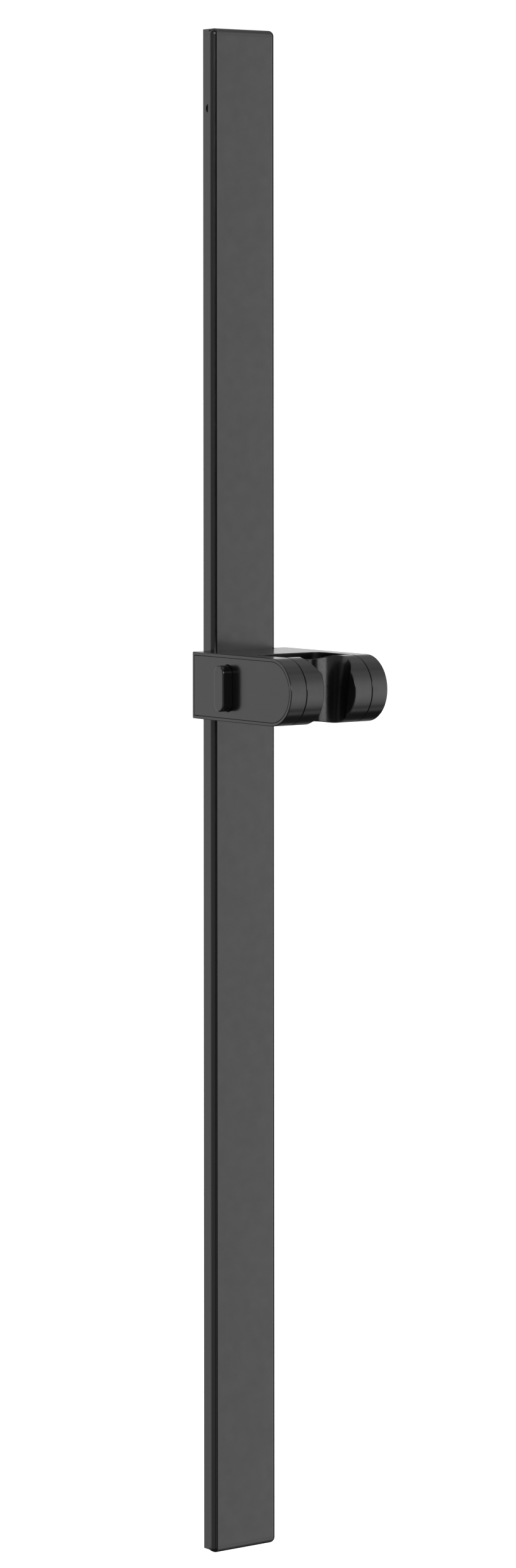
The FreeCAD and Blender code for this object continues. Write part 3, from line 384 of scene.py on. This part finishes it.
def socket_edge(width):
    """Hexagon as a radius for each angle: half its width over the cosine of the angle to the middle of the
    nearest flat."""
    return 0.5 * width / np.cos((TURN + np.pi / 6) % (np.pi / 3) - np.pi / 6)


def plain_rows(*pairs):
    """Rows of one distance and one radius each, the radius a number or a value for each angle."""
    far = np.array([distance for distance, _ in pairs])
    return far, np.stack([np.broadcast_to(radius, TURN.shape) for _, radius in pairs])


def thread_rows(start, end, radius, pitch):
    """Rows of a thread: the radius less a wave, a sine of the distance in pitches less the angle in turns.
    The wave's depth is a share of the pitch, and it fades in and out over one pitch at the ends."""
    far = np.linspace(start, end, int(ROWS_A_PITCH * (end - start) / pitch))
    wave = 0.5 - 0.5 * np.sin(2 * np.pi * far[:, None] / pitch - TURN)
    fade = np.clip(np.minimum(far - start, end - far) / pitch, 0.0, 1.0)
    return far, radius - THREAD_DEPTH * pitch * wave * fade[:, None]


print("degrees from one column of a screw to the next:", 360 / ANGLES_A_TURN)

# %% [markdown]
# The rows only say how far and how wide. To become a screw, they are set round an axis: the distance runs
# along x from the head's face, and cosine and sine of the angle carry the radius round. Turning a
# finished screw round for the other side would work too, but a grid that is worked out in place needs no
# turning afterwards.

# %% From rows to a steel piece
EDGE_ANGLE = math.radians(40)


def screw_points(head, inward, socket_depth, tip, *rows):
    """Grid of a screw that lies along x: each row is a ring round the axis, at its distance from the head's
    face and with its radius; the angle runs so that the thread is right-handed whichever way it points."""
    far = np.concatenate([row[0] for row in rows])[::-1, None]
    radius = np.concatenate([row[1] for row in rows])[::-1]
    one, other = radius * np.cos(TURN), radius * np.sin(TURN)
    sideways, upward = (one, other) if inward > 0 else (other, one)
    lengthways = head[0] + inward * far + 0 * radius
    points = np.stack([lengthways, head[1] + sideways, head[2] + upward], axis=-1)
    ends = np.array(head) + np.outer([tip, socket_depth], [inward, 0.0, 0.0])
    return points, ends


def fit_steel(piece, node, body):
    """A piece of turned steel in place of a plain solid, smooth but for its edges, riding on a body."""
    piece.data.materials.append(turned)
    piece.data.shade_smooth()
    piece.data.set_sharp_from_angle(angle=EDGE_ANGLE)
    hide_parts(node)
    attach(piece, body)
    print(piece.name, "faces:", len(piece.data.polygons))


# %% [markdown]
# The grub screw sits in the rail's left leg and presses on the wall bracket. It is a headless M5 screw
# with a socket for a 2.5 mm key, all thread, 0.8 mm a turn. A library screw could be brought in and moved
# there, but this one takes its place and length from the solid that it stands for, and follows if that
# changes.

# %% Grub screw
GRUB_PITCH, GRUB_KEY, GRUB_SOCKET, RIM = 0.0008, 0.0025, 0.0025, 0.0003
low, high = np.array(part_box("bracket_grub_screw"))
_, middle_y, middle_z = 0.5 * (low + high)
grub_long, grub_radius = high[0] - low[0], 0.5 * (high[1] - low[1])
key_hole = socket_edge(GRUB_KEY)
points, ends = screw_points(
    (low[0], middle_y, middle_z), 1.0, GRUB_SOCKET, grub_long,
    plain_rows((GRUB_SOCKET, key_hole), (0.0, key_hole), (0.0, grub_radius - RIM)),
    thread_rows(RIM, grub_long - RIM, grub_radius, GRUB_PITCH),
    plain_rows((grub_long, grub_radius - RIM)),
)
fit_steel(surface("threaded_grub_screw", points, around=True, ends=ends), "bracket_grub_screw", "rail")

# %% [markdown]
# The barrel tilts on two shoulder screws, one from each side. A shoulder screw has a smooth bearing
# between head and thread, which turns in the cheek while the thread holds in the barrel. The second could
# be a mirrored copy of the first, but that would have a left-handed thread. Both are right-handed, as on
# real screws, so the second is worked out again.

# %% Pivot screws
HEAD_THICK, HEAD_KEY, HEAD_SOCKET = 0.003, 0.005, 0.002
SHOULDER_RADIUS, SHOULDER_LONG = 0.004, 0.0057
PIVOT_RADIUS, PIVOT_LONG, PIVOT_PITCH = 0.003, 0.0075, 0.001
low, high = np.array(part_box("pivot_screws"))
_, middle_y, middle_z = 0.5 * (low + high)
head_radius = 0.5 * (high[1] - low[1])
under_shoulder = HEAD_THICK + SHOULDER_LONG
pivot_tip = under_shoulder + PIVOT_LONG
key_hole = socket_edge(HEAD_KEY)
for word, face, inward in (("left", low[0], 1.0), ("right", high[0], -1.0)):
    points, ends = screw_points(
        (face, middle_y, middle_z), inward, HEAD_SOCKET, pivot_tip,
        plain_rows((HEAD_SOCKET, key_hole), (0.0, key_hole), (0.0, head_radius - RIM)),
        plain_rows((RIM, head_radius), (HEAD_THICK, head_radius), (HEAD_THICK, SHOULDER_RADIUS)),
        plain_rows((under_shoulder, SHOULDER_RADIUS), (under_shoulder, PIVOT_RADIUS)),
        thread_rows(under_shoulder + RIM, pivot_tip - RIM, PIVOT_RADIUS, PIVOT_PITCH),
        plain_rows((pivot_tip, PIVOT_RADIUS - RIM)),
    )
    fit_steel(surface(word + "_pivot_screw", points, around=True, ends=ends), "pivot_screws", "holder")

# %% [markdown]
# The return spring pushes the button out again. It is wound from round wire with its end turns closed, so
# that it sits flat, and it gets shorter as the button goes in, which a stiff solid can't do. A screw
# modifier could wind it, but with the same pitch all along. Here a small circle is carried along the
# wire's line, which turns evenly round the axis, climbs one wire a turn at both ends and faster between
# them.

# %% Return spring
WIRE, TURNS, CLOSED_TURNS = 0.0009, 6, 0.5
STEPS_A_TURN, WIRE_SIDES = 36, 12
low, high = np.array(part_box("return_spring"))
turn = np.linspace(0.0, TURNS, TURNS * STEPS_A_TURN + 1)
open_share = np.clip(np.minimum(turn, TURNS - turn) - CLOSED_TURNS, 0.0, 1.0)
slack = high[0] - low[0] - WIRE * (TURNS + 1)
climb = low[0] + WIRE * (0.5 + turn) + slack * np.cumsum(open_share) / open_share.sum()
spoke = np.stack([0 * turn, np.cos(2 * np.pi * turn), np.sin(2 * np.pi * turn)], axis=-1)
axis_point = 0.5 * (low + high) * [0.0, 1.0, 1.0]
coil_radius = 0.5 * (high[2] - low[2] - WIRE)
wire_line = axis_point + coil_radius * spoke + np.outer(climb, [1.0, 0.0, 0.0])
ahead = np.gradient(wire_line, axis=0)
aside = np.cross(spoke, ahead / np.linalg.norm(ahead, axis=1, keepdims=True))
ring = np.linspace(0.0, 2 * np.pi, WIRE_SIDES, endpoint=False)[:, None]
wire_skin = np.cos(ring) * spoke[:, None] + np.sin(ring) * aside[:, None]
points = wire_line[:, None] + 0.5 * WIRE * wire_skin
spring = surface("wound_return_spring", points, around=True, ends=wire_line[[0, -1]])
fit_steel(spring, "return_spring", "slider")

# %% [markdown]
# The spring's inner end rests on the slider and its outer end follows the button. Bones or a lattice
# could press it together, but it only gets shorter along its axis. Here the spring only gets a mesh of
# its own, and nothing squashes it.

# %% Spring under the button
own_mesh(spring)

# %% [markdown]
# The guide shoes, the lever and the friction washers are a smooth slide plastic, a little waxy and
# unpainted. A thin clear layer over a dull one would look waxy too. A middling roughness that changes
# over a millimetre or two does the same with one layer, and hardly any of these pieces can be seen.

# %% Slide plastic
slide, shader = finish("slide_plastic", (0.03, 0.03, 0.03), 0.45)
tint(slide, grain(slide, 5), shader, (0.026, 0.026, 0.026), (0.034, 0.034, 0.034))
vary(slide, grain(slide, 1.5), shader, 0.40, 0.52)
relief(slide, grain(slide, 0.5), shader, 0.006, 0.4)
dress(slide, "left_guide_shoe", "right_guide_shoe", "brake_lever", "friction_washers")

# %% [markdown]
# The brake pad is matt rubber with a fine moulded grain, so it mirrors almost nothing. The grain could be
# cut into the mesh, but it is finer than the pad's own edges, so a bump with a high roughness is enough.

# %% Pad rubber
rubber, shader = finish("pad_rubber", (0.02, 0.02, 0.02), 0.85)
tint(rubber, grain(rubber, 2), shader, (0.016, 0.016, 0.016), (0.024, 0.024, 0.024))
vary(rubber, grain(rubber, 0.6), shader, 0.78, 0.92)
relief(rubber, grain(rubber, 0.3), shader, 0.02, 0.5)
dress(rubber, "brake_pad")
